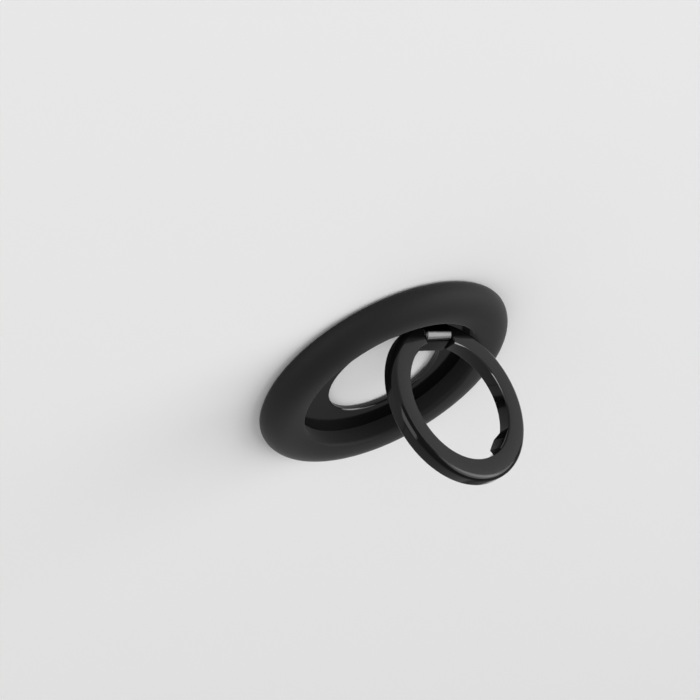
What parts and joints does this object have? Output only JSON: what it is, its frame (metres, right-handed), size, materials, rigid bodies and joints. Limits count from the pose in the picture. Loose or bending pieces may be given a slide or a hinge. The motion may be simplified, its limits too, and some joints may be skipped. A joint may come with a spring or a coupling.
{
  "type": "phone ring holder",
  "caption": "Magnetic ring holder for a phone: a soft domed ring round a recess, and a finger ring on a friction hinge that opens as a grip or stand.",
  "frame": {"origin": "centre of the back face, which lies on the phone", "axes": "+Z away from the phone, +Y from the centre towards the hinge, +X along the hinge pin"},
  "size_m": [0.0584, 0.0584, 0.0369],
  "materials": {
    "soft_skin": "matte soft-touch silicone",
    "pad": "matte non-slip pad",
    "inner_moulding": "fine matte",
    "floor_finish": "satin black",
    "hinge_metal": "polished",
    "steel": "plain",
    "washer": "smooth",
    "magnet_plating": "nickel plate",
    "ring_finish": "gloss black"
  },
  "bodies": {
    "base": {"soft_ring": "soft_skin", "back_pad": "pad", "carrier": "inner_moulding", "back_cover": "inner_moulding", "floor_plate": "floor_finish", "shunt_ring": "steel", "hinge_block": "hinge_metal", "hinge_screws": "steel", "washer_left": "washer", "washer_right": "washer", "magnet_01": "magnet_plating", "magnet_02": "magnet_plating", "magnet_03": "magnet_plating", "magnet_04": "magnet_plating", "magnet_05": "magnet_plating", "magnet_06": "magnet_plating", "magnet_07": "magnet_plating", "magnet_08": "magnet_plating", "magnet_09": "magnet_plating", "magnet_10": "magnet_plating", "magnet_11": "magnet_plating", "magnet_12": "magnet_plating", "magnet_13": "magnet_plating", "magnet_14": "magnet_plating", "magnet_15": "magnet_plating", "magnet_16": "magnet_plating", "magnet_17": "magnet_plating", "magnet_18": "magnet_plating"},
    "ring": {"finger_ring": "ring_finish", "hinge_pin": "steel"}
  },
  "joints": [
    {"name": "ring_hinge", "type": "hinge", "parent": "base", "child": "ring", "pos_m": [0, 0.01606, 0.00425], "axis": [-1, 0, 0], "range_deg": [-76.2, 24]}
  ]
}
